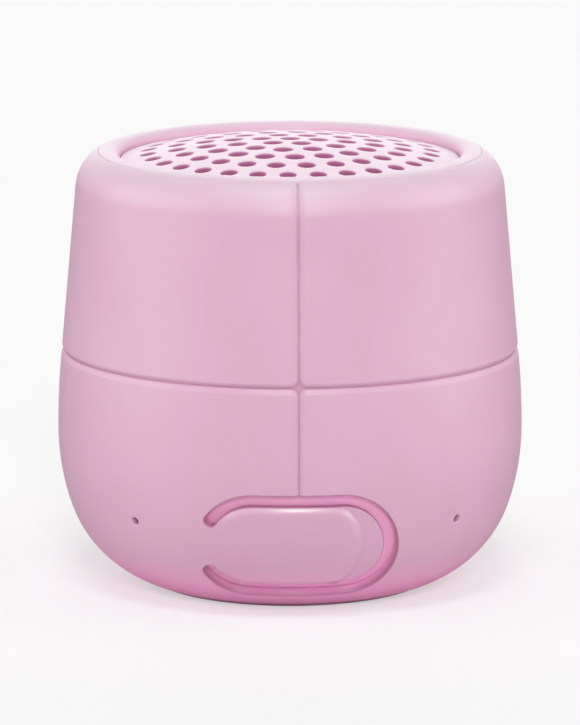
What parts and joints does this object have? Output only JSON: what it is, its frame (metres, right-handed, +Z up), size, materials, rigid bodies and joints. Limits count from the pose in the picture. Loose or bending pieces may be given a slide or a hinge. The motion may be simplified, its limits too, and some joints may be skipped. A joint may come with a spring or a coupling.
{
  "type": "shower speaker",
  "caption": "Palm-size round floating shower speaker in a moulded silicone skin, with a domed hole grille on top and a hinged port flap low on the front.",
  "frame": {"origin": "middle of the base, on the surface that the speaker stands on", "axes": "+Z up through the grille; -Y is the front, where the port flap is"},
  "size_m": [0.083, 0.083, 0.0796],
  "materials": {
    "skin_silicone": "soft matte silicone, fine bead-blasted texture",
    "flap_silicone": "soft matte silicone, as the skin",
    "bezel_plastic": "matte moulded ABS, tone in tone with the skin",
    "grille_plastic": "matte moulded ABS",
    "mesh_cloth": "fine woven acoustic mesh, hydrophobic",
    "housing_plastic": "matte moulded ABS",
    "foot_rubber": "dense matte rubber",
    "button_plastic": "soft-coated plastic",
    "seal_rubber": "black silicone rubber",
    "steel": "zinc-plated steel",
    "shell_steel": "stamped stainless steel",
    "board_laminate": "green solder mask on glass laminate",
    "part_black": "black moulded epoxy or nylon",
    "capacitor_can": "drawn aluminium can",
    "lens_clear": "clear polycarbonate",
    "cell_wrap": "shrink wrap",
    "tray_plastic": "black nylon",
    "basket_steel": "black-coated pressed steel",
    "ferrite": "dark grey ferrite",
    "plate_steel": "zinc-plated steel",
    "winding_copper": "enamelled copper on its former",
    "cone_paper": "black coated paper",
    "surround_rubber": "black butyl rubber",
    "spider_cloth": "resin-treated woven cloth",
    "gasket_foam": "closed-cell foam",
    "lead_wire": "insulated stranded wire"
  },
  "bodies": {
    "root": {"outer_skin": "skin_silicone", "top_bezel": "bezel_plastic", "grille": "grille_plastic", "grille_mesh": "mesh_cloth", "lower_housing": "housing_plastic", "upper_housing": "housing_plastic", "housing_seal": "seal_rubber", "housing_screws": "steel", "foot_pad": "foot_rubber", "button_o_ring": "seal_rubber", "main_board": "board_laminate", "tact_switch": "part_black", "shield_can": "shell_steel", "board_chips": "part_black", "board_capacitors": "capacitor_can", "usb_socket": "shell_steel", "usb_tongue": "part_black", "usb_gasket": "seal_rubber", "mic_boot": "seal_rubber", "microphone": "capacitor_can", "light_pipe": "lens_clear", "status_led": "part_black", "battery_cell": "cell_wrap", "battery_tray": "tray_plastic", "driver_basket": "basket_steel", "driver_top_plate": "plate_steel", "driver_magnet": "ferrite", "driver_yoke": "plate_steel", "surround": "surround_rubber", "spider": "spider_cloth", "driver_gasket": "gasket_foam", "driver_screws": "steel", "speaker_leads": "lead_wire", "battery_leads": "lead_wire"},
    "flap": {"port_flap": "flap_silicone"},
    "button": {"power_button": "button_plastic", "button_clip": "steel"},
    "plunger": {"switch_plunger": "part_black"},
    "driver_moving": {"cone": "cone_paper", "dust_cap": "cone_paper", "voice_coil": "winding_copper"}
  },
  "joints": [
    {"name": "flap_hinge", "type": "hinge", "parent": "root", "child": "flap", "pos_m": [-0.0145, -0.03627, 0.0133], "axis": [0, 0.4052, -0.9142], "range_deg": [0, 110], "stiffness_Nm_per_rad": 0.004},
    {"name": "button_press", "type": "slide", "parent": "root", "child": "button", "axis": [0, 0, 1], "range_m": [0, 0.0005], "stiffness_N_per_m": 2500},
    {"name": "plunger_press", "type": "slide", "parent": "root", "child": "plunger", "axis": [0, 0, 1], "range_m": [0, 0.0005]},
    {"name": "cone_stroke", "type": "slide", "parent": "root", "child": "driver_moving", "axis": [0, 0, 1], "range_m": [-0.0015, 0.0015], "stiffness_N_per_m": 1700, "deforming": ["surround", "spider"]}
  ],
  "couplings": [
    {"joint": "plunger_press", "follows": "button_press", "ratio": 1}
  ]
}
